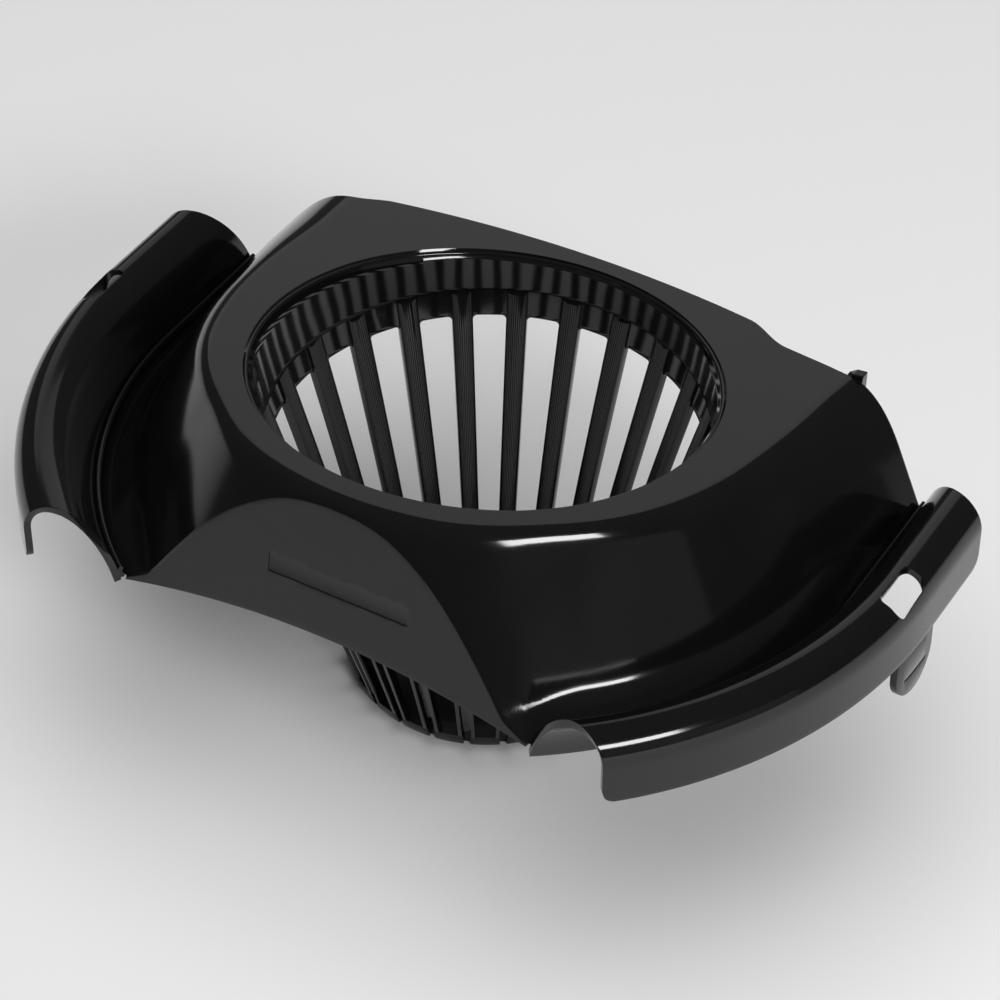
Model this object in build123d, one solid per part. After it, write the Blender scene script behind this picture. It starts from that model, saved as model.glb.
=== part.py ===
"""Clip-on bucket wringer insert, one moulding split into its functional regions.

Frame: millimetres, +Z up, +Y to the rear, origin under the centre of the basket floor.
"""
import os
from math import atan2, cos, degrees, hypot, pi, sin, sqrt

from build123d import *

os.makedirs("parts", exist_ok=True)

# ---- driving dimensions -------------------------------------------------------------
WALL = 2.1               # moulding wall
# basket: a cone of ribs under a smooth collar
RIBS = 24
GAP_TOP_Z = 82.3         # top of the gaps between ribs
BAND_TOP_Z = 91.4        # underside of the smooth collar
GAP_TOP_R = 65.0         # inner wall radius at the gap tops
CONE = 0.305             # basket wall lean, radius per height
COLLAR_R = 66.2          # collar inner radius at its underside
COLLAR_LEAN = 0.107
FLOOR_RIM_Z = 4.4        # height of the ring the ribs stand on
FLOOR_T = 2.0
RIB_PROUD = 1.6          # how far a rib stands inside the wall
RIB_W_TOP, RIB_W_LOW = 6.6, 5.2
# deck plane, falling to the rear
DECK_Z = 112.6           # height of the deck on the basket axis
DECK_FALL = 0.134
DECK_R = 75.4            # flat part of the deck: half round in front, square behind
DECK_REAR = 75.6         # rear edge on the centre line
DECK_REAR_BOW = 325.0    # radius of the bowed rear edge
# skin that falls from the deck to the valley beside the bucket rim
VALLEY_R = 118.3
VALLEY_Z = 71.9
FLANK_SLOPE = 1.66                  # steep part beside the basket
FRONT_SLOPE, REAR_SLOPE = 1.6, 1.57
FOOT_SLOPE, FOOT_RUN, FOOT_BLEND = 0.9, 10.44, 4.0     # shallow foot, absent dead ahead and at the rear
FRONT_FROM, FRONT_OVER = 18, 26     # degrees off dead ahead over which the foot grows
ROUND_FRONT, ROUND_SIDE, ROUND_REAR = 5.5, 9.0, 17.0
REAR_Y, REAR_LEAN = 52.6, 0.268     # rear cut of the wings
REAR_Z = 71.9
SCOOP = [(52.0, 72.0), (56.2, 68.6), (60.5, 65.8), (67.0, 64.0), (75.5, 63.2)]   # scooped rear corner
# front wall, leaning back
WALL_Y, WALL_LEAN = -92.4, 0.205    # y of its face at the foot, run per height
WALL_FOOT_Z = 70.8
WALL_FOOT_HALF = 69.0
WALL_FOOT_RISE = 8.2
# rim channels that hook over the bucket rim
RIM_R = 143.0
RIM_CY = 5.2
LIP_Z = 71.6
CREST_PROFILE = [(0, 84.2), (0.8, 87.8), (2.3, 90.6), (4.55, 92.7), (7.8, 93.5), (10.4, 93.1),
                 (13.0, 91.8), (15.6, 89.6), (17.9, 86.7), (19.8, 83.3), (21.45, 79.4), (22.75, 75.1)]
LEG_FOOT = (23.8, 70.8)
LIP_CORNER = 4.0         # rounded lower corners of the lip
# latch tabs under the outer lips, and the core hole above each
TAB_Y, TAB_HALF, TAB_LOW = -1.2, 10.5, 55.0
HOLE_X, HOLE_Y, HOLE_W, HOLE_L = 137.6, -3.4, 7.6, 16.4


def save(solid, name):
    export_step(solid, f"parts/{name}.step")


def both_sides(solid, name):
    save(solid, name + "_right")
    save(solid.mirror(Plane.YZ), name + "_left")


def biggest(shape):
    return max(shape.solids(), key=lambda s: s.volume)


# ---- skin surface -------------------------------------------------------------------
def deck_plane(y):
    return DECK_Z - DECK_FALL * y


def ease(t):
    t = min(1.0, max(0.0, t))
    return t * t * (3 - 2 * t)


def skin(x, y):
    """Outer height of the skin: deck plane rounded over into the steep flank."""
    x = abs(x)
    reach = hypot(x, y - RIM_CY) if y < RIM_CY else x
    run = VALLEY_R - reach
    front = 1 - ease((degrees(atan2(x, RIM_CY - y)) - FRONT_FROM) / FRONT_OVER)
    back = ease(y / 45)
    foot_run = FOOT_RUN * (1 - front - back)
    slope = FLANK_SLOPE + (FRONT_SLOPE - FLANK_SLOPE) * front + (REAR_SLOPE - FLANK_SLOPE) * back
    foot, steep = FOOT_SLOPE * run, FOOT_SLOPE * foot_run + slope * (run - foot_run)
    gap = max(FOOT_BLEND - abs(foot - steep), 0) / FOOT_BLEND
    flank = VALLEY_Z + max(foot, steep) + gap * gap * FOOT_BLEND / 4
    deck = deck_plane(y)
    k = ROUND_FRONT + (ROUND_SIDE - ROUND_FRONT) * ease((y + 55) / 50)
    k += (ROUND_REAR - ROUND_SIDE) * ease((y - 5) / 45)
    gap = max(k - abs(flank - deck), 0) / k
    return min(flank, deck) - gap * gap * k / 4


def under(x, y):
    """Matching point on the inner face, one wall thickness along the normal."""
    e = 0.05
    gx = (skin(x + e, y) - skin(x - e, y)) / (2 * e)
    gy = (skin(x, y + e) - skin(x, y - e)) / (2 * e)
    n = sqrt(1 + gx * gx + gy * gy)
    return (x + WALL * gx / n, y + WALL * gy / n, skin(x, y) - WALL / n)


def shell_piece(plan, rows, cols=14):
    """Closed solid between the skin and its inner face over a plan patch(u, v)."""
    grid = [[plan(i / rows, j / cols) for j in range(cols + 1)] for i in range(rows + 1)]
    top = Face.make_surface_from_array_of_points([[(x, y, skin(x, y)) for x, y in r] for r in grid], tol=2e-3)
    low = Face.make_surface_from_array_of_points([[under(x, y) for x, y in r] for r in grid], tol=2e-3)
    sides = []
    for edge in top.edges():
        mid = edge @ 0.5
        mate = min(low.edges(), key=lambda e: (e @ 0.5 - mid).length)
        if (mate @ 0 - edge @ 0).length > (mate @ 1 - edge @ 0).length:
            mate = mate.reversed()
        sides.append(Face.make_surface_from_curves(edge, mate))
    return Solid(Shell([top, low] + sides))


def arc_patch(a0, a1):
    """Plan patch between deck edge and valley, from angle a0 to a1 off dead ahead."""
    def plan(u, v):
        a = (a0 + (a1 - a0) * u) * pi / 180
        inner = (DECK_R * sin(a), -DECK_R * cos(a))
        outer = (VALLEY_R * sin(a), RIM_CY - VALLEY_R * cos(a))
        return (inner[0] + (outer[0] - inner[0]) * v, inner[1] + (outer[1] - inner[1]) * v)
    return plan


def wing_patch(u, v):
    run = 74 * u
    return (DECK_R + (VALLEY_R - DECK_R) * v, run + RIM_CY * v)


front_face = Plane(origin=(0, WALL_Y, WALL_FOOT_Z), x_dir=(1, 0, 0), z_dir=(0, -1, WALL_LEAN))
rear_face = Plane(origin=(0, REAR_Y, REAR_Z), x_dir=(1, 0, 0), z_dir=(0, 1, -REAR_LEAN))


def behind_front(solid):
    return biggest(solid.split(front_face, keep=Keep.BOTTOM))


def ahead_of_rear(solid):
    return biggest(solid.split(rear_face, keep=Keep.BOTTOM))


front_shoulder = behind_front(shell_piece(arc_patch(-30, 30), 24))
flank = behind_front(shell_piece(arc_patch(30, 90), 24))
wing = ahead_of_rear(shell_piece(wing_patch, 18))
save(front_shoulder, "front_shoulder")
both_sides(flank, "flank")
both_sides(wing, "wing")

# ---- deck plate ---------------------------------------------------------------------
tilt = degrees(atan2(-DECK_FALL, 1))
deck_cs = Plane(origin=(0, 0, DECK_Z), x_dir=(1, 0, 0), z_dir=(0, DECK_FALL, 1))


def collar_cone(grow):
    """Solid cone inside the collar, up past the deck."""
    z0, z1 = 60.0, 140.0
    r0, r1 = (COLLAR_R + grow + COLLAR_LEAN * (z - BAND_TOP_Z) for z in (z0, z1))
    return Pos(0, 0, (z0 + z1) / 2) * Cone(r0, r1, z1 - z0)


front_half = Pos(0, 0, DECK_Z) * Cylinder(DECK_R, 60)
rear_half = Pos(0, 60, DECK_Z) * Box(2 * DECK_R, 120, 60)
bow = Pos(0, DECK_REAR - DECK_REAR_BOW, DECK_Z) * Cylinder(DECK_REAR_BOW, 90)
slab = deck_cs * Pos(0, 0, -WALL / 2) * Box(260, 260, WALL)
plan_block = (front_half + rear_half) & bow
# one rear corner is scooped away beside the bowed edge
scoop_face = make_face([Spline(SCOOP), Polyline(SCOOP[-1], (80, 63), (80, 90), (50, 90), (49.5, 76), SCOOP[0])])
scoop = extrude(Pos(0, 0, DECK_Z - 40) * scoop_face, 80)
deck = biggest((slab & plan_block) - collar_cone(0) - scoop)
save(deck, "deck_plate")

# ---- collar, band, floor ------------------------------------------------------------
def ring(points):
    face = make_face(Polyline([(r, 0, z) for r, z in points], close=True))
    return revolve(face, Axis.Z, 360)


def wall_r(z):
    return GAP_TOP_R - CONE * (GAP_TOP_Z - z)


top_z = 130.0
collar = ring([(COLLAR_R, BAND_TOP_Z), (COLLAR_R + COLLAR_LEAN * (top_z - BAND_TOP_Z), top_z),
               (71.9, top_z), (wall_r(BAND_TOP_Z) + WALL, BAND_TOP_Z)])
under_deck = deck_cs.offset(-WALL)
collar = biggest(collar.split(under_deck, keep=Keep.BOTTOM))
save(collar, "basket_collar")
band = ring([(wall_r(GAP_TOP_Z), GAP_TOP_Z), (wall_r(BAND_TOP_Z), BAND_TOP_Z),
             (wall_r(BAND_TOP_Z) + WALL, BAND_TOP_Z), (wall_r(GAP_TOP_Z) + WALL, GAP_TOP_Z)])
save(biggest(band), "basket_band")

# ---- ribs ---------------------------------------------------------------------------
def rib_section(z, width):
    """Trough section, hollow on the outside, rounded towards the basket axis."""
    r_in, r_out, h, b = wall_r(z) - RIB_PROUD, wall_r(z) + WALL, width / 2, 0.55
    pts = [(r_in, h - 1.3), (r_in + b, h - 0.4), (r_in + 2 * b, h), (r_out, h), (r_out, h - 1.3),
           (r_in + 1.9, h - 1.5)]
    pts += [(x, -y) for x, y in reversed(pts)]
    return Pos(0, 0, z) * make_face(Polyline([(x, y) for x, y in pts], close=True))


def rib_pad(z):
    r_in, h, b = wall_r(z) - RIB_PROUD, RIB_W_TOP / 2, 0.55
    pts = [(r_in, h - 1.3), (r_in + b, h - 0.4), (r_in + 2 * b, h), (wall_r(z), h)]
    pts += [(x, -y) for x, y in reversed(pts)]
    return Pos(0, 0, z) * make_face(Polyline([(x, y) for x, y in pts], close=True))


rib = Solid.make_loft([rib_section(z, w).wire() for z, w in ((FLOOR_RIM_Z, RIB_W_LOW), (GAP_TOP_Z, RIB_W_TOP))], True)
pad = Solid.make_loft([rib_pad(z).wire() for z in (GAP_TOP_Z, BAND_TOP_Z)], True)
inside_band = Pos(0, 0, (GAP_TOP_Z + BAND_TOP_Z) / 2) * Cone(
    wall_r(GAP_TOP_Z), wall_r(BAND_TOP_Z), BAND_TOP_Z - GAP_TOP_Z)
rib = biggest(rib + (pad & inside_band))
for i in range(RIBS):
    angle = 7.5 + 360 / RIBS * i
    save(Rot(0, 0, angle) * rib, f"rib_{i + 1:02d}")

# ---- floor --------------------------------------------------------------------------
floor_r = wall_r(0) + WALL
rim_r = wall_r(FLOOR_RIM_Z) + WALL
floor = ring([(0, 0), (floor_r, 0), (rim_r, FLOOR_RIM_Z), (rim_r - 5.2, FLOOR_RIM_Z),
              (rim_r - 5.6, FLOOR_T), (0, FLOOR_T)])
for i in range(RIBS):
    notch = Pos(floor_r + 0.4, 0, FLOOR_RIM_Z / 2) * Box(3.4, 2.2, FLOOR_RIM_Z + 2)
    floor = floor - Rot(0, 0, 7.5 + 360 / RIBS * i) * notch
save(biggest(floor), "basket_floor")

# ---- rim channels -------------------------------------------------------------------
def inner_offset(points, t):
    """Points moved t towards the inside of the arch."""
    out = []
    for i, (x, z) in enumerate(points):
        a, b = points[max(i - 1, 0)], points[min(i + 1, len(points) - 1)]
        dx, dz = b[0] - a[0], b[1] - a[1]
        n = hypot(dx, dz)
        out.append((x + t * dz / n, z - t * dx / n))
    return out


def at_rim(points):
    return [(RIM_R - d, RIM_CY, z) for d, z in points]


def along_rim(face):
    """Sweep a section round the bucket end and straight back along its side."""
    bend = revolve(face, Axis((0, RIM_CY, 0), (0, 0, 1)), -62)
    straight = extrude(face, 80, dir=(0, 1, 0))
    return bend + straight


arch_in = inner_offset(CREST_PROFILE, WALL)
outer_line = at_rim(CREST_PROFILE)
inner_line = at_rim(arch_in)
lip = at_rim([(0, LIP_Z), (WALL, LIP_Z)])
foot = at_rim([LEG_FOOT, (LEG_FOOT[0] - WALL, LEG_FOOT[1])])
section = make_face([
    Spline(outer_line), Line(outer_line[-1], foot[0]), Line(foot[0], foot[1]), Line(foot[1], inner_line[-1]),
    Spline(inner_line), Line(inner_line[0], lip[1]), Line(lip[1], lip[0]), Line(lip[0], outer_line[0])])


def rim_point(d, s, z=0.0):
    """Point d in from the lip face and s along the rim, measured back from where the bend ends."""
    a = min(s, 0) / RIM_R
    return ((RIM_R - d) * cos(a), RIM_CY + (RIM_R - d) * sin(a) + max(s, 0), z)


def front_end(d):
    """Where the channel starts: cut askew, and drawn forward at the inner foot."""
    return -119.3 - 0.49 * d - 0.0042 * d * d - 4.3 * (max(d - 10, 0) / 13.8) ** 2


def rear_end(d):
    return 34.3 + 0.096 * d + 0.0205 * d * d


ends = [-3 + 3.5 * i for i in range(10)]
front_line = [rim_point(d, front_end(d)) for d in ends]
rear_line = [rim_point(d, rear_end(d)) for d in reversed(ends)]
between_ends = extrude(make_face([
    Spline(front_line), Line(front_line[-1], rear_line[0]), Spline(rear_line),
    Polyline(rear_line[-1], (200, 20, 0), (200, -140, 0), front_line[0])]), 130)


def trim_ends(solid):
    return biggest(solid & between_ends)


def corner_cut(s, back):
    """Takes the square lower corner off the lip at s; back is 1 at the front end, -1 at the rear."""
    spot = Plane(origin=rim_point(0, s, LIP_Z), x_dir=(-sin(min(s, 0) / RIM_R) * back, cos(min(s, 0) / RIM_R) * back, 0),
                 z_dir=(cos(min(s, 0) / RIM_R) * back, sin(min(s, 0) / RIM_R) * back, 0))
    block = Pos(LIP_CORNER / 2 - 1, LIP_CORNER / 2 - 1) * Rectangle(LIP_CORNER + 2, LIP_CORNER + 2)
    return spot * extrude(block - Pos(LIP_CORNER, LIP_CORNER) * Circle(LIP_CORNER), 6, both=True)


channel = trim_ends(along_rim(section))
hole = extrude(RectangleRounded(HOLE_W, HOLE_L, 2.4), 30)
channel = biggest(channel - Pos(HOLE_X, HOLE_Y, 80) * hole)
channel = biggest(channel - corner_cut(front_end(0) - 0.05, 1) - corner_cut(rear_end(0) + 0.05, -1))
both_sides(channel, "rim_channel")

# bead that closes the valley between channel and flank
bead_top = VALLEY_Z + 2.6
lean = sqrt(1 + FOOT_SLOPE ** 2)
BEAD_GAP = 0.05          # hairline left between the bead and the flank
skin_foot = (RIM_R - VALLEY_R + WALL * FOOT_SLOPE / lean - BEAD_GAP, VALLEY_Z - WALL / lean)
bead_pts = at_rim([(LEG_FOOT[0], skin_foot[1]), skin_foot,
                   (RIM_R - VALLEY_R - BEAD_GAP, VALLEY_Z), (LEG_FOOT[0] + 0.8, bead_top - 0.3),
                   (LEG_FOOT[0] + 0.3, bead_top), (LEG_FOOT[0], bead_top - 0.4)])
bead_face = make_face(Polyline(bead_pts, close=True))
bead = trim_ends(along_rim(bead_face))
bead = behind_front(bead)
both_sides(bead, "valley_bead")

# ---- front wall ---------------------------------------------------------------------
def on_wall(x, z):
    return (x, WALL_Y + WALL_LEAN * (z - WALL_FOOT_Z), z)


def wall_top(x):
    """Height where the wall face meets the middle of the skin."""
    lo, hi = WALL_FOOT_Z, 125.0
    for _ in range(40):
        z = (lo + hi) / 2
        if skin(x, on_wall(x, z)[1]) - WALL / 2 * 1.6 > z:
            lo = z
        else:
            hi = z
    return lo


half = WALL_FOOT_HALF
xs = [half * (i / 12 - 1) for i in range(25)]
arch_top = [on_wall(x, wall_top(x)) for x in xs[1:-1]]
left_tip, right_tip = on_wall(-half, WALL_FOOT_Z), on_wall(half, WALL_FOOT_Z)
outline = make_face([
    Line(left_tip, arch_top[0]), Spline(arch_top), Line(arch_top[-1], right_tip),
    ThreePointArc(right_tip, on_wall(0, WALL_FOOT_Z + WALL_FOOT_RISE), left_tip)])
into = (0, 1, -WALL_LEAN)
front_wall = extrude(outline, WALL, dir=into)
front_wall = front_wall - front_shoulder - flank - flank.mirror(Plane.YZ)
for side in (bead, channel):
    front_wall = front_wall - side - side.mirror(Plane.YZ)
panel = on_wall(3.4, 96.2)
recess = Plane(origin=panel, x_dir=(1, 0, 0), z_dir=(0, -1, WALL_LEAN)) * Box(46.0, 5.9, 0.9)
save(biggest(biggest(front_wall) - recess), "front_wall")

# ---- latch tabs ---------------------------------------------------------------------
tab_section = make_face(Polyline(at_rim([(0, TAB_LOW - 2), (WALL, TAB_LOW - 2), (WALL, LIP_Z), (0, LIP_Z)]),
                                 close=True))
tab_drop = LIP_Z - TAB_LOW - TAB_HALF
tab_shape = Plane.YZ * (Pos(TAB_Y, LIP_Z - tab_drop) * (Circle(TAB_HALF) + Pos(0, 5) * Rectangle(2 * TAB_HALF, 10.0)))
tab = along_rim(tab_section) & extrude(tab_shape, 200)
tab = tab - Pos(RIM_R, TAB_Y + 0.6, 62.2) * Box(12, 13.0, 0.8)
hook_pts = [(RIM_R - WALL, TAB_Y, 61.6), (RIM_R - WALL - 2.0, TAB_Y, 60.9), (RIM_R - WALL - 1.6, TAB_Y, 59.8),
            (RIM_R - WALL, TAB_Y, 57.6)]
hook = extrude(make_face(Polyline(hook_pts, close=True)), 6.0, dir=(0, 1, 0), both=True)
both_sides(biggest(biggest(tab) + Pos(-0.25, 0, 0) * hook), "latch_tab")

# ---- rear fin -----------------------------------------------------------------------
fin_pts = [(85.0, 99.0), (87.0, 103.4), (89.4, 105.1), (92.6, 105.5), (92.2, 92.5), (88.0, 94.0)]
fin = extrude(make_face(Polyline([(x, 64.6, z) for x, z in fin_pts], close=True)), 9, dir=(0, -1, 0))
fin = biggest(fin.split(rear_face, keep=Keep.TOP))
save(fin, "rear_fin")
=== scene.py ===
"""Looks for the clip-on bucket wringer insert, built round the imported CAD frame.

Shapes are worked out in millimetres in the part's own frame and stored in metres.
"""
from math import acos, atan2, cos, hypot, pi, radians, sin, sqrt, tan

import bpy
from mathutils import Matrix, Vector


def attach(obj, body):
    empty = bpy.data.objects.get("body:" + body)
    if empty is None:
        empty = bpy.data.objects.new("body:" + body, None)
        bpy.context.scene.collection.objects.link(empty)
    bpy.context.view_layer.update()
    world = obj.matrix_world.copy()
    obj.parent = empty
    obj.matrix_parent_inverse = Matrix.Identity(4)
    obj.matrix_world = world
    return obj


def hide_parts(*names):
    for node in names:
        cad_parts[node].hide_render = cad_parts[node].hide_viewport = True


MM = 0.001
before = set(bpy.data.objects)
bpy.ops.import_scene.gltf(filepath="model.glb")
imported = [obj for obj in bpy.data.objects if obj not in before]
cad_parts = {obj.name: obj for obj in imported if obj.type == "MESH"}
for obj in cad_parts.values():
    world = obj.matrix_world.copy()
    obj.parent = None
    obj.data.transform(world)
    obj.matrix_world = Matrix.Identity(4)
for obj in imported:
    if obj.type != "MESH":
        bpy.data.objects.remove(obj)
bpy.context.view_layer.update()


# ---- driving dimensions -----------------------------------------------------------------
# Most are the part's. The rounding of edges and rear corners, the rib section and the plate's depth follow
# the photograph more closely than the part does.
# A pair marked "start, span" is where a change begins and the distance over which it takes place.
WALL = 2.1
# basket: a cone of ribs under a smooth collar
RIBS = 24
FIRST_RIB = 7.5                                      # degrees round the axis
GAP_TOP_Z, BAND_TOP_Z = 82.3, 91.4                   # tops of the gaps between ribs and of the band above
GAP_TOP_R, CONE = 65.0, 0.305                        # inner wall radius at the gap tops, and its lean
COLLAR_R, COLLAR_LEAN, COLLAR_FILLET = 66.2, 0.107, 1.7
FLOOR_RIM_Z = 4.4
RIB_PROUD, RIB_W_TOP, RIB_W_LOW = 1.6, 6.6, 5.2
RIB_CROWN, RIB_CROWN_POWER = 1.25, 0.8               # rounding of the side that faces the axis
RIB_CHEEK, RIB_CHEEK_INNER = 1.2, 1.35               # walls of the hollow side, at its mouth and its bottom
RIB_TROUGH, RIB_SINK = 2.0, 0.2                      # depth of the hollow, and of the foot in the floor ring
HEAD_OUT, HEAD_TROUGH = 1.5, 0.3                     # top of a rib, in front of the band
HEAD_FROM, HEAD_RISE = 0.1, 0.9                      # its start over the gap tops, its end over the band's
BAND_CORNER, BAND_RISE = 1.4, 0.3                    # rounded top corners of the gaps, collar overlap
# deck
DECK_Z, DECK_FALL = 112.6, 0.134
DECK_REAR, DECK_REAR_BOW = 75.6, 325.0
SCOOP_X, SCOOP_Y, SCOOP_LEAN = 67, 64.0, 0.113       # scooped right rear corner
SCOOP_IN, SCOOP_OUT, LEFT_CORNER = (50, 16), (80, 14), (74, 18)     # start, span in x
# skin from the deck down to the valley
VALLEY_R, VALLEY_Z = 118.3, 71.9
FLANK_SLOPE, FRONT_SLOPE = 1.66, 1.6                 # beside the basket and dead ahead
FOOT_SLOPE, FOOT_RUN, FOOT_BLEND = 0.9, 10.44, 0.6   # shallow foot of the flank
FOOT_GROWTH = radians(18), radians(26)               # start, span of the angle off dead ahead
ROUND_AHEAD, ROUND_FRONT, ROUND_SIDE = 5.6, 4.0, 9.0     # dead ahead, beside that, beside the basket
REAR_LEFT, REAR_RIGHT = (18.0, 1.53), (17.0, 1.6)    # rear corners: round and slope
BEHIND, SIDE_TURN, REAR_TURN = (0, 45), (-55, 50), (5, 45)         # start, span in y
REAR_Y, REAR_LEAN = 52.6, 0.268                      # rear cut of the wings
# front wall, with a blank plate sunk in it
WALL_Y, WALL_LEAN = -92.4, 0.205
WALL_FOOT_Z, WALL_FOOT_HALF, WALL_FOOT_RISE = 70.8, 69.0, 8.2
EDGE_ROUND, EDGE_SHARE, EDGE_PULL = 1.3, 0.35, 0.6   # arched edge: size, its limit by height, fullness
PLATE_X, PLATE_Z, PLATE_W, PLATE_H, PLATE_DEEP = 3.4, 96.2, 46.0, 5.9, 0.3
PLATE_CLEAR = 3                                      # how far its cutter stands out in front
# rim channels that hook over the bucket rim; d is measured in from the lip face
RIM_R, RIM_CY, LIP_Z, LIP_CORNER = 143.0, 5.2, 71.6, 4.0
CREST_IN, CREST_Z, SHOULDER_Z = 7.8, 93.5, 84.2      # crest of the channel and top of its upright lip
LEG_RUN, LEG_FALL, LEG_FOOT_Z = 16.5, 32.0, 70.8     # half axes of the curve down to the valley, and its end
FRONT_CUT, FRONT_SKEW, FRONT_CURVE = -119.3, 0.49, 0.0042
FOOT_DRAWN, DRAWN_FROM, DRAWN_OVER = 4.3, 10, 13.8   # how the front cut is drawn forward at the inner foot
REAR_CUT, REAR_SKEW, REAR_CURVE = 34.3, 0.096, 0.0205
# hole over each latch tab
HOLE_X, HOLE_Y, HOLE_W, HOLE_L, HOLE_R = 137.6, -3.4, 7.6, 16.4, 2.4
HOLE_LEVELS = 76, 99                                 # the cutter's bottom and top
# bead along the valley: section as (d, z), and how far it stops short of the channel's ends
BEAD_SECTION = [(22.7, 70.9), (24.9, 70.9), (24.9, 72.4), (24.85, 74.0), (24.5, 74.8), (23.95, 75.1),
                (23.4, 74.8), (22.95, 74.0), (22.7, 73.0)]
BEAD_D, BEAD_FRONT_GAP, BEAD_REAR_GAP = 23.8, 1.2, 0.4
# how finely the meshes follow their curves
FRONT_STATIONS, BEND_STATIONS, SIDE_STATIONS, REAR_STATIONS = 44, 64, 24, 96
COLLAR_ROWS, FILLET_STEPS, SPREAD, EDGE_STEPS, WALL_ROWS = 12, 7, 84, 6, 22
CREST_STEPS, LEG_STEPS, LIP_STEPS, ALONG, CORNER_STEPS, BEAD_STEPS = 14, 30, 8, 130, 6, 110
CROWN_STEPS, RIB_STEPS, HEAD_STEPS, BAND_AROUND, BAND_UP = 12, 14, 4, 1440, 8


# ---- mesh helpers ---------------------------------------------------------------------
def ramp(value, start, span):
    """0 up to the start, then smoothly up to 1 over the span."""
    t = min(1.0, max(0.0, (value - start) / span))
    return t * t * (3 - 2 * t)


def mesh_piece(name, points, faces):
    mesh = bpy.data.meshes.new(name)
    mesh.from_pydata([(x * MM, y * MM, z * MM) for x, y, z in points], [], faces)
    obj = bpy.data.objects.new(name, mesh)
    bpy.context.scene.collection.objects.link(obj)
    mesh.polygons.foreach_set("use_smooth", [True] * len(mesh.polygons))
    return obj


def grid_faces(rows, cols, wrap=False):
    """Quads over rows x cols of points, turned so that rows x cols is the outward side."""
    faces = []
    for i in range(rows if wrap else rows - 1):
        a0, b0 = i * cols, (i + 1) % rows * cols
        faces += [(a0 + j, a0 + j + 1, b0 + j + 1, b0 + j) for j in range(cols - 1)]
    return faces


def loft(rings):
    """Points and faces of a closed solid through rings of equal length."""
    n = len(rings[0])
    points = [p for ring in rings for p in ring]
    faces = []
    for i in range(len(rings) - 1):
        for j in range(n):
            k = (j + 1) % n
            faces.append((i * n + j, i * n + k, (i + 1) * n + k, (i + 1) * n + j))
    faces.append(tuple(reversed(range(n))))
    faces.append(tuple(range((len(rings) - 1) * n, len(rings) * n)))
    return points, faces


def modify(obj, kind, **settings):
    modifier = obj.modifiers.new(kind.lower(), kind)
    for key, value in settings.items():
        setattr(modifier, key, value)


def settle(obj, sharp=32):
    """Applies the modifiers and keeps only edges sharper than the given angle hard."""
    graph = bpy.context.evaluated_depsgraph_get()
    mesh = bpy.data.meshes.new_from_object(obj.evaluated_get(graph))
    obj.modifiers.clear()
    old, obj.data = obj.data, mesh
    bpy.data.meshes.remove(old)
    mesh.name = obj.name
    mesh.polygons.foreach_set("use_smooth", [True] * len(mesh.polygons))
    mesh.set_sharp_from_angle(angle=radians(sharp))


def merge_close(obj, distance=0.01):
    modify(obj, "WELD", merge_threshold=distance * MM)


def thicken(obj):
    modify(obj, "SOLIDIFY", thickness=WALL * MM, offset=-1, use_even_offset=True, use_quality_normals=True)


def soften(obj, width, segments=2, angle=50):
    modify(obj, "BEVEL", width=width * MM, segments=segments, limit_method="ANGLE",
           angle_limit=radians(angle), use_clamp_overlap=True, harden_normals=False)


def cut(obj, cutter):
    modify(obj, "BOOLEAN", operation="DIFFERENCE", object=cutter, solver="EXACT")
    settle(obj)
    bpy.data.objects.remove(cutter)


def dress(obj, material):
    obj.data.materials.clear()
    obj.data.materials.append(material)


def fits(obj, material, *nodes, body="moulding"):
    dress(obj, material)
    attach(obj, body)
    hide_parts(*nodes)


def on_side(node, side):
    return node + ("_right" if side > 0 else "_left")


# ---- materials ------------------------------------------------------------------------
DARK, PALER = (0.0028, 0.0028, 0.003), (0.0045, 0.0045, 0.0048)
WALL_FACING = 0.985             # how squarely a satin face looks out of the front wall
POLISH_R, POLISH_TILT = 70.0, 0.6     # a polished face is within this radius and looks up less than this


def plastic(name, roughness, spread, grain, wave, tint=1.0):
    """Black moulded plastic: a roughness that drifts over the surface, fine grain and long soft waves."""
    material = bpy.data.materials.new(name)
    material.use_nodes = True
    nodes, links = material.node_tree.nodes, material.node_tree.links
    shader = nodes["Principled BSDF"]
    shader.inputs["IOR"].default_value = 1.49
    shader.inputs["Specular IOR Level"].default_value = 0.5
    place = nodes.new("ShaderNodeTexCoord")

    def noise(scale, detail):
        texture = nodes.new("ShaderNodeTexNoise")
        texture.inputs["Scale"].default_value = scale
        texture.inputs["Detail"].default_value = detail
        links.new(place.outputs["Object"], texture.inputs["Vector"])
        return texture.outputs["Fac"]

    def bump(height, strength, distance, below=None):
        node = nodes.new("ShaderNodeBump")
        node.inputs["Strength"].default_value = strength
        node.inputs["Distance"].default_value = distance
        links.new(height, node.inputs["Height"])
        if below:
            links.new(below, node.inputs["Normal"])
        return node.outputs["Normal"]

    tone = nodes.new("ShaderNodeMix")
    tone.data_type = "RGBA"
    tone.inputs["A"].default_value = (*(level * tint for level in DARK), 1)
    tone.inputs["B"].default_value = (*(level * tint for level in PALER), 1)
    links.new(noise(scale=60, detail=5), tone.inputs["Factor"])
    links.new(tone.outputs["Result"], shader.inputs["Base Color"])
    drift = nodes.new("ShaderNodeMapRange")
    drift.inputs["To Min"].default_value = roughness - spread
    drift.inputs["To Max"].default_value = roughness + spread
    links.new(noise(scale=24, detail=4), drift.inputs["Value"])
    links.new(drift.outputs["Result"], shader.inputs["Roughness"])
    waves = bump(noise(scale=38, detail=1), wave, distance=0.0012)
    surface = bump(noise(scale=2600, detail=2), grain, distance=0.00008, below=waves)
    links.new(surface, shader.inputs["Normal"])
    return material


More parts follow.
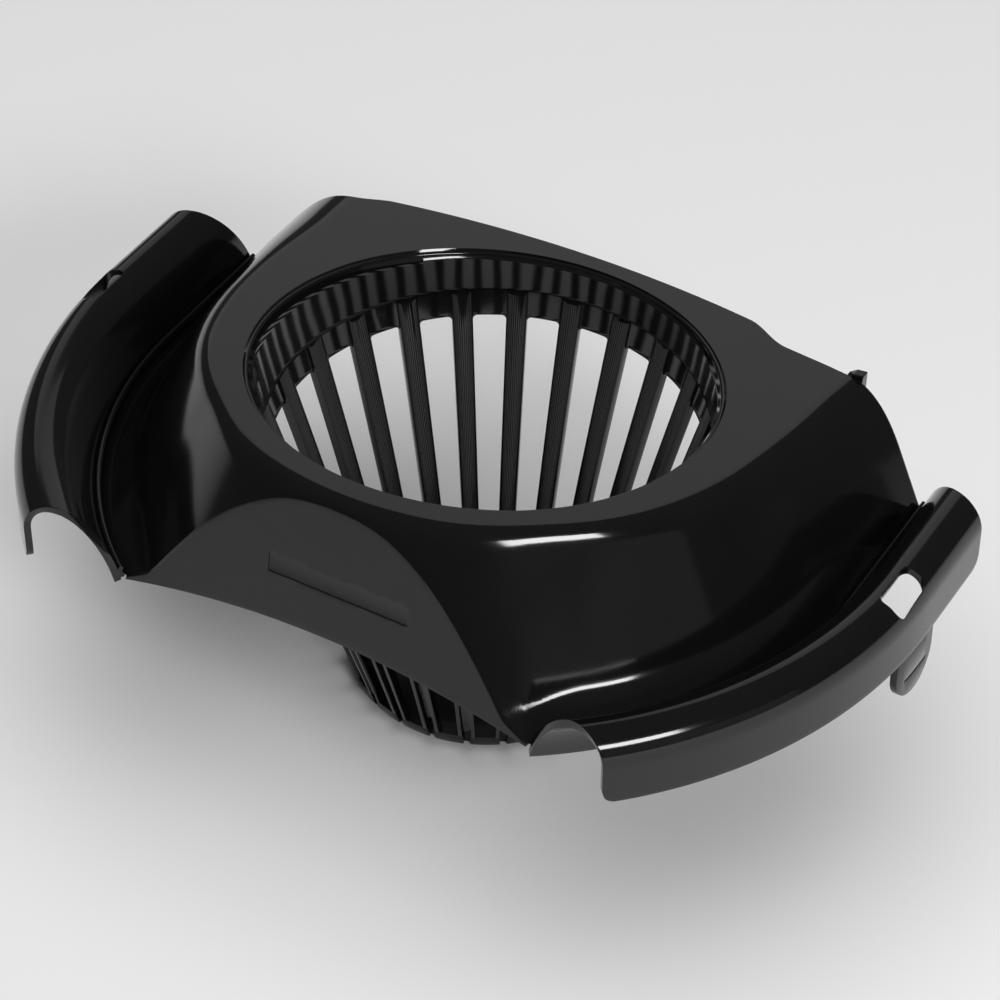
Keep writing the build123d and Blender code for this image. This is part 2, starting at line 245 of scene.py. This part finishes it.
gloss = plastic("gloss_black", roughness=0.10, spread=0.02, grain=0.05, wave=0.03)
mirror = plastic("polished_black", roughness=0.07, spread=0.02, grain=0.02, wave=0.16)
satin = plastic("satin_black", roughness=0.44, spread=0.04, grain=0.35, wave=0.02, tint=1.5)


# ---- shell: collar, deck, flanks, wings and front wall in one skin --------------------
def deck_plane(y):
    return DECK_Z - DECK_FALL * y


def skin(x, y):
    """Outer height of the skin: the deck plane, rounded over into a steep flank with a shallow foot."""
    rear_round, rear_slope = REAR_RIGHT if x > 0 else REAR_LEFT
    x = abs(x)
    run = VALLEY_R - (hypot(x, y - RIM_CY) if y < RIM_CY else x)
    ahead, behind = 1 - ramp(atan2(x, RIM_CY - y), *FOOT_GROWTH), ramp(y, *BEHIND)
    foot_run = FOOT_RUN * (1 - ahead - behind)
    slope = FLANK_SLOPE + (FRONT_SLOPE - FLANK_SLOPE) * ahead + (rear_slope - FLANK_SLOPE) * behind
    foot, steep = FOOT_SLOPE * run, FOOT_SLOPE * foot_run + slope * (run - foot_run)
    gap = max(FOOT_BLEND - abs(foot - steep), 0) / FOOT_BLEND
    flank = VALLEY_Z + max(foot, steep) + gap * gap * FOOT_BLEND / 4
    deck = deck_plane(y)
    turn = ROUND_FRONT + (ROUND_AHEAD - ROUND_FRONT) * ahead
    to_side, to_rear = ramp(y, *SIDE_TURN), ramp(y, *REAR_TURN)
    turn += (ROUND_SIDE - ROUND_FRONT) * to_side + (rear_round - ROUND_SIDE) * to_rear
    gap = max(turn - abs(flank - deck), 0) / turn
    return min(flank, deck) - gap * gap * turn / 4


def meet(x, y_at, guess, rounds=60):
    """y on the skin where y = y_at(height), closed in on from a guess."""
    y = guess
    for _ in range(rounds):
        y += 0.5 * (y_at(skin(x, y)) - y)
    return y


def wall_y(z):
    return WALL_Y + WALL_LEAN * (z - WALL_FOOT_Z)


def rear_y(z):
    return REAR_Y + REAR_LEAN * (z - VALLEY_Z)


def bow(x):
    """y of the bowed rear edge of the deck."""
    return DECK_REAR - DECK_REAR_BOW + sqrt(DECK_REAR_BOW ** 2 - x * x)


def rear_edge(x, side):
    """Rear edge of the deck and wings; side is 1 on the right, where a corner is scooped away."""
    cut_back = meet(x, rear_y, guess=55)
    if side > 0:
        scooped = SCOOP_Y - SCOOP_LEAN * (x - SCOOP_X)
        deck_edge = bow(x) + (scooped - bow(x)) * ramp(x, *SCOOP_IN)
        return deck_edge + (cut_back - deck_edge) * ramp(x, *SCOOP_OUT)
    return bow(x) + (cut_back - bow(x)) * ramp(x, *LEFT_CORNER)


# where the face of the front wall meets the valley
tip_y = wall_y(VALLEY_Z)
tip_x = sqrt(VALLEY_R ** 2 - (tip_y - RIM_CY) ** 2)
tip_angle = atan2(tip_y - RIM_CY, tip_x)


def half_outline(side):
    """Plan outline from the front centre round to the rear centre on one side."""
    across = [tip_x * i / FRONT_STATIONS for i in range(FRONT_STATIONS)]
    line = [(x, meet(x, wall_y, guess=-88)) for x in across] + [(tip_x, tip_y)]
    bends = [tip_angle * (1 - i / BEND_STATIONS) for i in range(1, BEND_STATIONS + 1)]
    line += [(VALLEY_R * cos(a), RIM_CY + VALLEY_R * sin(a)) for a in bends]
    corner = rear_edge(VALLEY_R, side)
    line += [(VALLEY_R, RIM_CY + (corner - RIM_CY) * i / SIDE_STATIONS) for i in range(1, SIDE_STATIONS + 1)]
    inwards = [VALLEY_R * (1 - i / REAR_STATIONS) for i in range(1, REAR_STATIONS + 1)]
    line += [(x, rear_edge(x, side)) for x in inwards]
    return [(side * x, y) for x, y in line]


def opening(angle):
    """(radius, z) up the collar and over its rounded edge on to the deck, at an angle round the axis."""
    fall = -DECK_FALL * sin(angle)
    top = (DECK_Z + fall * (COLLAR_R - COLLAR_LEAN * BAND_TOP_Z)) / (1 - fall * COLLAR_LEAN)
    corner = Vector((COLLAR_R + COLLAR_LEAN * (top - BAND_TOP_Z), top))
    out, down = Vector((1, fall)).normalized(), Vector((-COLLAR_LEAN, -1)).normalized()
    opened = acos(out.dot(down))
    reach = COLLAR_FILLET / tan(opened / 2)
    centre = corner + (out + down).normalized() * COLLAR_FILLET / sin(opened / 2)
    first, last = corner + down * reach - centre, corner + out * reach - centre
    low = Vector((COLLAR_R, BAND_TOP_Z))
    wall_top = centre + first
    line = [low.lerp(wall_top, i / COLLAR_ROWS) for i in range(COLLAR_ROWS)]
    line += [centre + first.slerp(last, i / FILLET_STEPS) for i in range(FILLET_STEPS + 1)]
    return [(p.x, p.y) for p in line]


def edge_round(height):
    """Size of the rounding of the arched edge, less where the wall below it is low."""
    return min(EDGE_ROUND, EDGE_SHARE * height)


def spoke(x, y):
    """Points up the collar, over its edge and out across the skin to (x, y) on the outline."""
    angle = atan2(y, x)
    column = [(r * cos(angle), r * sin(angle), z) for r, z in opening(angle)]
    start = hypot(column[-1][0], column[-1][1])
    reach = hypot(x, y) - start
    if abs(x) <= tip_x + 1e-6 and y < 0:
        reach -= edge_round(skin(x, y) - WALL_FOOT_Z)
    for i in range(1, SPREAD + 1):
        r = start + reach * i / SPREAD
        px, py = r * cos(angle), r * sin(angle)
        column.append((px, py, skin(px, py)))
    return column


def wall_column(x, y, begin):
    """Points from the skin over the rounded arched edge and down the front wall to its foot."""
    edge = Vector((x, y, skin(x, y)))
    foot_z = WALL_FOOT_Z + WALL_FOOT_RISE * (1 - (x / WALL_FOOT_HALF) ** 2)
    drop = max(edge.z - foot_z, 0.0)
    down = Vector((0, -WALL_LEAN, -1))
    end = edge + down * edge_round(drop)
    pull_a, pull_b = begin.lerp(edge, EDGE_PULL), end.lerp(edge, EDGE_PULL)
    column = []
    for k in range(EDGE_STEPS + 1):
        t = k / EDGE_STEPS
        s = 1 - t
        column.append(begin * s ** 3 + pull_a * 3 * t * s ** 2 + pull_b * 3 * t * t * s + end * t ** 3)
    foot = edge + down * drop
    column += [end.lerp(foot, k / WALL_ROWS) for k in range(1, WALL_ROWS + 1)]
    return [tuple(p) for p in column]


def shell_mesh():
    outline = half_outline(1) + half_outline(-1)[-2:0:-1]
    spokes = [spoke(x, y) for x, y in outline]
    points = [p for column in spokes for p in column]
    faces = grid_faces(len(outline), len(spokes[0]), wrap=True)
    front = [i % len(outline) for i in range(-FRONT_STATIONS, FRONT_STATIONS + 1)]
    columns = [wall_column(*outline[i], Vector(spokes[i][-1])) for i in front]
    base = len(points)
    points += [p for column in columns for p in column]
    faces += [tuple(base + i for i in face) for face in grid_faces(len(front), len(columns[0]))]
    return points, faces


into_wall = Vector((0, 1, -WALL_LEAN)).normalized()
up_wall = Vector((0, WALL_LEAN, 1)).normalized()


def plate_cutter():
    """Block that sinks the blank plate into the front wall."""
    centre = Vector((PLATE_X, wall_y(PLATE_Z), PLATE_Z))
    corners = [centre + Vector((sx * PLATE_W / 2, 0, 0)) + up_wall * sz * PLATE_H / 2
               for sx, sz in ((-1, -1), (1, -1), (1, 1), (-1, 1))]
    levels = [[tuple(c + into_wall * depth) for c in corners] for depth in (PLATE_DEEP, -PLATE_CLEAR)]
    return mesh_piece("plate_cutter", *loft(levels))


def finish_faces(obj):
    """The front wall has a finer, duller finish than the rest, and the collar is polished."""
    obj.data.materials.append(satin)
    obj.data.materials.append(mirror)
    for polygon in obj.data.polygons:
        place, normal = polygon.center, polygon.normal
        if normal.dot(-into_wall) > WALL_FACING and place.y < 0:
            polygon.material_index = 1
        elif hypot(place.x, place.y) < POLISH_R * MM and normal.z < POLISH_TILT:
            polygon.material_index = 2


def shell():
    obj = mesh_piece("shell_moulded", *shell_mesh())
    merge_close(obj)
    thicken(obj)
    settle(obj)
    cut(obj, plate_cutter())
    soften(obj, width=0.35)
    settle(obj)
    fits(obj, gloss, "front_shoulder", "flank_left", "flank_right", "wing_left", "wing_right", "deck_plate",
         "basket_collar", "front_wall")
    finish_faces(obj)


shell()


# ---- rim channels ---------------------------------------------------------------------
def rim_point(d, s, z):
    """Point d in from the lip face and s along the rim, measured back from where the bend ends."""
    a = min(s, 0) / RIM_R
    return ((RIM_R - d) * cos(a), RIM_CY + (RIM_R - d) * sin(a) + max(s, 0), z)


def front_end(d):
    """Where the channel starts along the rim: cut askew, and drawn forward at the inner foot."""
    drawn = (max(d - DRAWN_FROM, 0) / DRAWN_OVER) ** 2
    return FRONT_CUT - FRONT_SKEW * d - FRONT_CURVE * d * d - FOOT_DRAWN * drawn


def rear_end(d):
    return REAR_CUT + REAR_SKEW * d + REAR_CURVE * d * d


def corner_rise(gap):
    """How far the rounded lower corner lifts the lip's edge at a distance from its end."""
    left = max(LIP_CORNER - max(gap, 0), 0)
    return LIP_CORNER - sqrt(LIP_CORNER ** 2 - left ** 2)


def channel_profile():
    """(d, z) from the top of the upright lip over the crest and down to the valley."""
    line = []
    for i in range(1, CREST_STEPS + 1):
        a = pi / 2 * i / CREST_STEPS
        line.append((CREST_IN * (1 - cos(a)), SHOULDER_Z + (CREST_Z - SHOULDER_Z) * sin(a)))
    last = acos(1 - (CREST_Z - LEG_FOOT_Z) / LEG_FALL)
    for i in range(1, LEG_STEPS + 1):
        a = last * i / LEG_STEPS
        line.append((CREST_IN + LEG_RUN * sin(a), CREST_Z - LEG_FALL * (1 - cos(a))))
    return line


def channel_row(share, profile):
    """Section of the channel a share of the way from its front end to its rear end."""
    def along(d):
        return front_end(d) + (rear_end(d) - front_end(d)) * share
    s = along(0)
    low = LIP_Z + corner_rise(s - front_end(0)) + corner_rise(rear_end(0) - s)
    row = [rim_point(0, s, low + (SHOULDER_Z - low) * k / LIP_STEPS) for k in range(LIP_STEPS + 1)]
    return row + [rim_point(d, along(d), z) for d, z in profile]


def hole_cutter(side):
    """Upright block with rounded corners that opens the hole over a latch tab."""
    levels = []
    for z in HOLE_LEVELS:
        loop = []
        for sx, sy, first in ((1, 1, 0), (-1, 1, 90), (-1, -1, 180), (1, -1, 270)):
            for k in range(CORNER_STEPS + 1):
                a = radians(first + 90 * k / CORNER_STEPS)
                loop.append((side * HOLE_X + sx * (HOLE_W / 2 - HOLE_R) + HOLE_R * cos(a),
                             HOLE_Y + sy * (HOLE_L / 2 - HOLE_R) + HOLE_R * sin(a), z))
        levels.append(loop)
    return mesh_piece("hole_cutter", *loft(levels))


def channel(side):
    """Channel with its rows drawn closer together towards both ends."""
    profile = channel_profile()
    points = []
    for i in range(ALONG + 1):
        even = i / ALONG
        points += channel_row(0.5 * even + 0.25 * (1 - cos(pi * even)), profile)
    faces = grid_faces(ALONG + 1, LIP_STEPS + 1 + len(profile))
    if side > 0:
        faces = [face[::-1] for face in faces]
    node = on_side("rim_channel", side)
    obj = mesh_piece(node + "_moulded", [(side * x, y, z) for x, y, z in points], faces)
    thicken(obj)
    settle(obj)
    cut(obj, hole_cutter(side))
    soften(obj, width=0.4, segments=3)
    settle(obj)
    fits(obj, gloss, node)


for side in (1, -1):
    channel(side)


# ---- bead along the valley --------------------------------------------------------------
def bead(side):
    """Rounded bead where the channel's leg and the flank meet."""
    start = front_end(BEAD_D) + BEAD_FRONT_GAP
    stop = rear_end(BEAD_D) - BEAD_REAR_GAP
    rings = []
    for i in range(BEAD_STEPS + 1):
        s = start + (stop - start) * i / BEAD_STEPS
        ring = [rim_point(d, s, z) for d, z in BEAD_SECTION]
        rings.append([(side * x, y, z) for x, y, z in (ring if side > 0 else ring[::-1])])
    node = on_side("valley_bead", side)
    obj = mesh_piece(node + "_moulded", *loft(rings))
    settle(obj, sharp=60)
    fits(obj, gloss, node)


for side in (1, -1):
    bead(side)


# ---- ribs -----------------------------------------------------------------------------
def wall_r(z):
    return GAP_TOP_R - CONE * (GAP_TOP_Z - z)


def rib_ring(z, out, trough, turn):
    """Section of a rib, crowned towards the axis and hollow behind, ending a distance out from the wall."""
    share = min(1.0, (z - FLOOR_RIM_Z) / (GAP_TOP_Z - FLOOR_RIM_Z))
    half = (RIB_W_LOW + (RIB_W_TOP - RIB_W_LOW) * share) / 2
    r_in, r_out = wall_r(z) - RIB_PROUD, wall_r(z) + out
    line = []
    for i in range(CROWN_STEPS + 1):
        a = pi * i / CROWN_STEPS
        line.append((r_in + RIB_CROWN * (1 - sin(a) ** RIB_CROWN_POWER), half * cos(a)))
    line += [(r_out, -half), (r_out, RIB_CHEEK - half), (r_out - trough, RIB_CHEEK_INNER - half)]
    line += [(r_out - trough, half - RIB_CHEEK_INNER), (r_out, half - RIB_CHEEK), (r_out, half)]
    return [(r * cos(turn) - t * sin(turn), r * sin(turn) + t * cos(turn), z) for r, t in reversed(line)]


def rib(index):
    turn = radians(FIRST_RIB + 360 / RIBS * index)
    rise = BAND_TOP_Z + HEAD_RISE - GAP_TOP_Z - HEAD_FROM
    rings = []
    for i in range(RIB_STEPS + 1):
        z = FLOOR_RIM_Z - RIB_SINK + (GAP_TOP_Z - FLOOR_RIM_Z + RIB_SINK) * i / RIB_STEPS
        rings.append(rib_ring(z, WALL, RIB_TROUGH, turn))
    for i in range(HEAD_STEPS + 1):
        z = GAP_TOP_Z + HEAD_FROM + rise * i / HEAD_STEPS
        rings.append(rib_ring(z, HEAD_OUT, HEAD_TROUGH, turn))
    node = f"rib_{index + 1:02d}"
    obj = mesh_piece(node + "_moulded", *loft(rings))
    soften(obj, width=0.22, angle=55)
    settle(obj)
    fits(obj, mirror, node)


for index in range(RIBS):
    rib(index)


# ---- band between the rib tops ----------------------------------------------------------
def band():
    """Ring behind the rib tops; its lower edge curves down into each rib."""
    pitch = 2 * pi / RIBS
    points = []
    for i in range(BAND_AROUND):
        angle = 2 * pi * i / BAND_AROUND
        off = abs((angle - radians(FIRST_RIB) + pitch / 2) % pitch - pitch / 2) * GAP_TOP_R - RIB_W_TOP / 2
        left = max(BAND_CORNER - max(off, 0), 0)
        low = GAP_TOP_Z - (BAND_CORNER - sqrt(BAND_CORNER ** 2 - left ** 2))
        for k in range(BAND_UP + 1):
            z = low + (BAND_TOP_Z + BAND_RISE - low) * k / BAND_UP
            points.append((wall_r(z) * cos(angle), wall_r(z) * sin(angle), z))
    obj = mesh_piece("basket_band_moulded", points, grid_faces(BAND_AROUND, BAND_UP + 1, wrap=True))
    thicken(obj)
    settle(obj)
    soften(obj, width=0.2)
    settle(obj)
    fits(obj, mirror, "basket_band")


band()

# ---- pieces kept from the CAD: softened edges and their finish --------------------------
for name in ("basket_floor", "latch_tab_left", "latch_tab_right", "rear_fin"):
    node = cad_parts[name]
    dress(node, gloss)
    merge_close(node)
    soften(node, width=0.3, angle=40)

# ---- camera, as fitted to the photograph ------------------------------------------------
AZIMUTH, ELEVATION, ROLL = radians(30.47), radians(41.09), radians(0.14)
LENS, SENSOR = 125.6, 36                       # millimetres
CAMERA_AT = (0.405737, -0.681893, 0.754293)    # metres
right = Vector((cos(AZIMUTH), sin(AZIMUTH), 0))
ahead = Vector((-sin(AZIMUTH) * cos(ELEVATION), cos(AZIMUTH) * cos(ELEVATION), -sin(ELEVATION)))
up = right.cross(ahead)
camera_data = bpy.data.cameras.new("camera")
camera_data.lens, camera_data.sensor_width = LENS, SENSOR
camera = bpy.data.objects.new("camera", camera_data)
bpy.context.scene.collection.objects.link(camera)
camera.matrix_world = Matrix((right * cos(ROLL) + up * sin(ROLL), up * cos(ROLL) - right * sin(ROLL),
                              -ahead)).transposed().to_4x4()
camera.location = CAMERA_AT
bpy.context.scene.camera = camera

# ---- floor ------------------------------------------------------------------------------
FLOOR_HALF = 3000
FLOOR_GREY, FLOOR_ROUGHNESS = (0.85, 0.85, 0.85, 1), 0.9
floor = mesh_piece("floor", [(sx * FLOOR_HALF, sy * FLOOR_HALF, 0)
                             for sx, sy in ((-1, -1), (1, -1), (1, 1), (-1, 1))], [(0, 1, 2, 3)])
pale = bpy.data.materials.new("pale_floor")
pale.use_nodes = True
pale.node_tree.nodes["Principled BSDF"].inputs["Base Color"].default_value = FLOOR_GREY
pale.node_tree.nodes["Principled BSDF"].inputs["Roughness"].default_value = FLOOR_ROUGHNESS
floor.data.materials.append(pale)

# ---- studio light: lengths in metres ----------------------------------------------------
AIM = Vector((0, 0, 0.08))


def softbox(name, azimuth, elevation, distance, width, height, glow, mirrored=True):
    """Area light of the given radiance, placed in a direction given as for the camera."""
    a, e = radians(azimuth), radians(elevation)
    back = Vector((sin(a) * cos(e), -cos(a) * cos(e), sin(e)))
    data = bpy.data.lights.new(name, "AREA")
    data.shape, data.size, data.size_y = "RECTANGLE", width, height
    data.energy = glow * pi * width * height
    lamp = bpy.data.objects.new(name, data)
    bpy.context.scene.collection.objects.link(lamp)
    lamp.location = AIM + back * distance
    lamp.rotation_mode = "QUATERNION"
    lamp.rotation_quaternion = back.to_track_quat("Z", "Y")
    lamp.visible_glossy = mirrored


softbox("floor_fill", azimuth=0, elevation=89, distance=2.0, width=3.0, height=3.0, glow=1.5, mirrored=False)
softbox("key_box", azimuth=59, elevation=31, distance=1.6, width=0.54, height=0.32, glow=22)
softbox("rear_panel", azimuth=212, elevation=28, distance=1.9, width=1.6, height=0.9, glow=0.42)
softbox("side_panel", azimuth=72, elevation=9, distance=1.9, width=1.5, height=0.6, glow=0.16)

# dim light from all round, a little brighter overhead
ALL_ROUND, OVERHEAD = 0.07, 0.05
world = bpy.data.worlds.new("studio")
world.use_nodes = True
nodes, links = world.node_tree.nodes, world.node_tree.links
direction = nodes.new("ShaderNodeTexCoord")
split = nodes.new("ShaderNodeSeparateXYZ")
links.new(direction.outputs["Generated"], split.inputs["Vector"])
feed = split.outputs["Z"]
for operation, value in (("MAXIMUM", 0.0), ("MULTIPLY", OVERHEAD), ("ADD", ALL_ROUND)):
    step = nodes.new("ShaderNodeMath")
    step.operation = operation
    step.inputs[1].default_value = value
    links.new(feed, step.inputs[0])
    feed = step.outputs["Value"]
links.new(feed, nodes["Background"].inputs["Strength"])
nodes["Background"].inputs["Color"].default_value = (1, 1, 1, 1)
bpy.context.scene.world = world
bpy.context.scene.view_settings.view_transform = "Standard"
